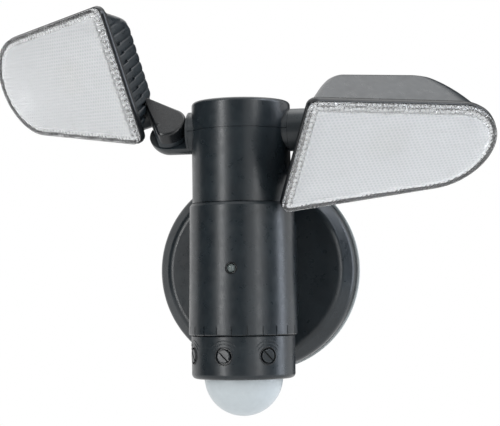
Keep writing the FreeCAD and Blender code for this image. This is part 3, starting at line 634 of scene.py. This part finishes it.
def arm_cover(side):
    """The fuller outer form of an arm: a flat-faced cap over the knuckle and its bolt, hollow round the
    bolt's head. Each ring goes once round the knuckle's axis, at a reach and a height."""
    angle = circle_angles(220)
    way = np.column_stack([np.cos(angle), np.sin(angle)])
    reach = cover_reach(angle)[:, None]
    centre, hollow = np.zeros_like(reach), np.full_like(reach, BOLT_R)
    foot, top, bend = COVER_FOOT, COVER_TOP, COVER_ROUND
    profile = [
        (centre, COVER_HOLLOW), (hollow, COVER_HOLLOW), (hollow, foot), (reach - 0.2, foot),
        (reach, foot + 0.2), (reach, foot + 0.4), (reach, top - bend - 0.2), (reach, top - bend),
        (reach - bend / 6, top - bend / 2), (reach - bend / 2, top - bend / 6), (reach - bend, top),
        (reach - bend - 0.2, top), (0.8 * reach, top), (0.5 * reach, top), (centre, top),
    ]
    rings = np.array([np.column_stack([r * way, np.full(len(way), height)]) for r, height in profile])
    placed = np.array([KNUCKLE_X, COLUMN_Y, ARM_Z]) + rings @ arm_frame(side).T
    piece = grid_piece(side + "_arm_cover", placed @ mirror_for(side) * MM)
    piece.data.materials.append(MATERIALS["bezel_plastic"])
    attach(piece, side + "_arm")


def collar_shoulder():
    """The upper part of the turning collar, up to the sleeve's foot, as a ring round the collar's neck.
    Each point of its profile is a radius and a height; the close pairs keep the edges crisp."""
    side, foot, top = COLLAR_R + SHOULDER_GROWTH, SHOULDER_FOOT, SHOULDER_TOP
    profile = [
        (NECK_R, foot), (side - 0.1, foot), (side, foot + 0.02), (side, foot + 0.1), (side, foot + 0.9),
        (side, top - 1.6), (side, top - 0.7), (side, top - 0.6), (side - 0.2, top - 0.15), (side - 0.6, top),
        (NECK_R, top), (NECK_R, foot),
    ]
    angle = circle_angles(180)
    rings = [np.column_stack([r * np.sin(angle), COLUMN_Y - r * np.cos(angle), np.full(len(angle), height)])
             for r, height in profile]
    piece = grid_piece("collar_shoulder", np.array(rings) * MM)
    piece.data.materials.append(MATERIALS["moulded_plastic"])
    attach(piece, "sensor")


def arc_on_collar(name, azimuth, radius, start, stop, half, slot_name):
    """A raised line on the collar's round side, half of a thin tube, that runs round a dial's axis from
    one angle to another. A point at distance r and angle t from the axis is r cos t along the round and
    r sin t up; the tube gets thinner at open ends and joins up if the angles make a full turn."""
    steps = 72
    turn, share = np.linspace(np.radians(start), np.radians(stop), steps), np.linspace(0, 1, steps)
    open_ended = stop - start < 360
    thin = np.sqrt(np.clip(np.minimum(share, 1 - share) / 0.04, 0, 1)) if open_ended else np.ones(steps)
    section = circle_angles(10)
    r = radius + half * thin[:, None] * np.cos(section)
    out = COLLAR_R + half * thin[:, None] * np.sin(section)
    along = np.radians(azimuth) + r * np.cos(turn)[:, None] / COLLAR_R
    height = DIAL_Z + r * np.sin(turn)[:, None]
    grid = np.stack([out * np.sin(along), COLUMN_Y - out * np.cos(along), height], axis=-1)
    piece = grid_piece(name, grid * MM)
    piece.data.materials.append(MATERIALS[slot_name])
    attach(piece, "sensor")


def indicator_painted_shade_ring():
    """A black round rim in the sleeve's recess, about the light pipe: painted shade of the recess round the
    pipe, made as a ring whose section is a circle.
    """
    turn, section = np.linspace(0, 2 * np.pi, 48)[:, None], circle_angles(12)
    r = INDICATOR_SHADE_R + INDICATOR_SHADE_HALF * np.cos(section)
    out = INDICATOR_SHADE_OUT + INDICATOR_SHADE_HALF * np.sin(section) + 0 * turn
    grid = np.stack([r * np.cos(turn), COLUMN_Y - out, r * np.sin(turn)], axis=-1)
    piece = grid_piece("indicator_painted_shade_ring", grid * MM)
    piece.data.materials.append(MATERIALS["bezel_plastic"])
    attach(piece, "column")


collar_shoulder()
indicator_painted_shade_ring()
for dial_name, dial_azimuth in DIAL_AZIMUTHS.items():
    for line_name, *line in DIAL_LINES:
        arc_on_collar(dial_name + line_name, dial_azimuth, *line)
for side_name in ("right", "left"):
    lens(side_name)
    painted_shade_ring(side_name)
    bezel(side_name)
    housing(side_name)
    arm_cover(side_name)

# ---------------------------------------------------------------- stage and camera, in metres and degrees

TARGET = (0.00507, -0.057, 0.03426)  # what the camera and every lamp look at
PHOTO_WIDTH = 500
FOCAL_PX = 1548.5  # the lens's focal length in pixels of a picture that is PHOTO_WIDTH wide
SENSOR_MM = 36.0
CAMERA_AZIMUTH = 12.0
CAMERA_HEIGHT = -3.3  # degrees above the horizon
CAMERA_ROLL = -0.7
CAMERA_DISTANCE = 0.95
NEAREST, FARTHEST = 0.05, 50  # what the camera sees
FLOOR_Z = -0.32
FLOOR_REACH = 6.0
CARD_DISTANCE = 1.5
CARD_FOOT, CARD_TOP = FLOOR_Z + 0.01, 1.3
CARDS = [  # name, azimuth, width
    ("left_card", -73, 1.5),
    ("front_card", 1, 1.0),
    ("right_card", 86, 1.2),
    ("rear_card", 168, 0.9),
]
SOFTBOXES = [  # name, azimuth, height, distance, width, tall, watts, tint
    ("left_strip", -33, 8, 1.1, 0.14, 1.5, 6, "#ffffff"),
    ("right_strip", 46, 8, 1.2, 0.16, 1.5, 3.2, "#ffffff"),
    ("side_strip", 102, 8, 1.1, 0.3, 1.3, 7, "#eaf2ff"),
    ("upper_right", 75, 42, 1.1, 0.5, 0.5, 4, "#eaf2ff"),
    ("top_light", 180, 72, 1.0, 1.2, 0.6, 3.5, "#ffffff"),
]


def from_front(azimuth, height):
    """The unit vector that points away from the target at an azimuth, measured from -Y towards +X, and a
    height above the horizon."""
    a, h = np.radians(azimuth), np.radians(height)
    return np.array([np.sin(a) * np.cos(h), -np.cos(a) * np.cos(h), np.sin(h)])


def facing(back):
    """Right, up and back axes, as columns, of something that looks along minus back and stands upright."""
    right = np.cross(-back, (0, 0, 1.0))
    right /= np.linalg.norm(right)
    return np.column_stack([right, np.cross(right, -back), back])


def stand(obj, axes, place):
    """Puts a camera, lamp or card at a place with the given axes."""
    turned = np.eye(4)
    turned[:3, :3], turned[:3, 3] = axes, place
    obj.matrix_world = Matrix(turned.tolist())
    bpy.context.scene.collection.objects.link(obj)


def make_camera():
    """The camera at the photograph's angle, turned a little about its own axis."""
    data = bpy.data.cameras.new("camera")
    data.sensor_fit, data.sensor_width = "HORIZONTAL", SENSOR_MM
    data.lens = FOCAL_PX * SENSOR_MM / PHOTO_WIDTH
    data.clip_start, data.clip_end = NEAREST, FARTHEST
    camera = bpy.data.objects.new("camera", data)
    back = from_front(CAMERA_AZIMUTH, CAMERA_HEIGHT)
    axes = facing(back) @ turn_about((0, 0, 1), CAMERA_ROLL)
    stand(camera, axes, np.array(TARGET) + CAMERA_DISTANCE * back)
    bpy.context.scene.camera = camera


def softbox(name, azimuth, height, distance, width, tall, watts, tint):
    """A rectangular studio light that looks at the middle of the object."""
    data = bpy.data.lights.new(name, "AREA")
    data.shape, data.size, data.size_y = "RECTANGLE", width, tall
    data.energy, data.color = watts, colour(tint)[:3]
    back = from_front(azimuth, height)
    stand(bpy.data.objects.new(name, data), facing(back), np.array(TARGET) + distance * back)


def white_to_camera(tree, seen, lit):
    """Mixes two shaders: what the camera, mirrors and glass see, and what lights the object."""
    path = add(tree, "ShaderNodeLightPath").outputs
    seen_by = path["Is Camera Ray"]
    for ray in ("Is Glossy Ray", "Is Transmission Ray"):
        seen_by = add(tree, "ShaderNodeMath", {0: seen_by, 1: path[ray]}, operation="MAXIMUM").outputs[0]
    return add(tree, "ShaderNodeMixShader", {0: seen_by, 1: lit.outputs[0], 2: seen.outputs[0]}).outputs[0]


def make_world():
    """An even white studio: full white where the camera looks, softer as light."""
    world = bpy.data.worlds.new("studio")
    bpy.context.scene.world = world
    tree = empty_tree(world)
    seen = add(tree, "ShaderNodeBackground", {"Color": colour("#ffffff"), "Strength": 1.0})
    lit = add(tree, "ShaderNodeBackground", {"Color": colour("#f2f6fa"), "Strength": 0.75})
    add(tree, "ShaderNodeOutputWorld", {"Surface": white_to_camera(tree, seen, lit)})


def flat_card(name, corners, material):
    """One four-cornered face that belongs to the studio."""
    mesh = bpy.data.meshes.new(name)
    mesh.from_pydata(corners, [], [(0, 1, 2, 3)])
    mesh.materials.append(material)
    return bpy.data.objects.new(name, mesh)


def make_floor():
    """A pale studio floor, seen white, which keeps the object's shadow as light for everything else."""
    paper = bpy.data.materials.new("pale_studio_paper")
    tree = empty_tree(paper)
    seen = add(tree, "ShaderNodeEmission", {"Color": colour("#ffffff"), "Strength": 1.0})
    lit = add(tree, "ShaderNodeBsdfDiffuse", {"Color": colour("#f2f2f1")})
    add(tree, "ShaderNodeOutputMaterial", {"Surface": white_to_camera(tree, seen, lit)})
    signs = ((-1, -1), (1, -1), (1, 1), (-1, 1))
    floor = flat_card("floor", [(x * FLOOR_REACH, y * FLOOR_REACH, FLOOR_Z) for x, y in signs], paper)
    bpy.context.scene.collection.objects.link(floor)


def black_card(name, azimuth, width, velvet):
    """A tall black card outside the picture, which puts a dark band into what the smooth plastic
    reflects."""
    half = width / 2
    corners = [(-half, CARD_FOOT, 0), (half, CARD_FOOT, 0), (half, CARD_TOP, 0), (-half, CARD_TOP, 0)]
    card = flat_card(name, corners, velvet)
    back = from_front(azimuth, 0)
    stand(card, facing(back), np.array([TARGET[0], TARGET[1], 0]) + CARD_DISTANCE * back)
    card.visible_camera = card.visible_diffuse = card.visible_transmission = False


make_camera()
make_world()
make_floor()
black_velvet = plain_material("black_velvet", "#050505", "#0a0a0a", 0.9)
for card_row in CARDS:
    black_card(*card_row, black_velvet)
for softbox_row in SOFTBOXES:
    softbox(*softbox_row)
bpy.context.scene.view_settings.view_transform = "Standard"
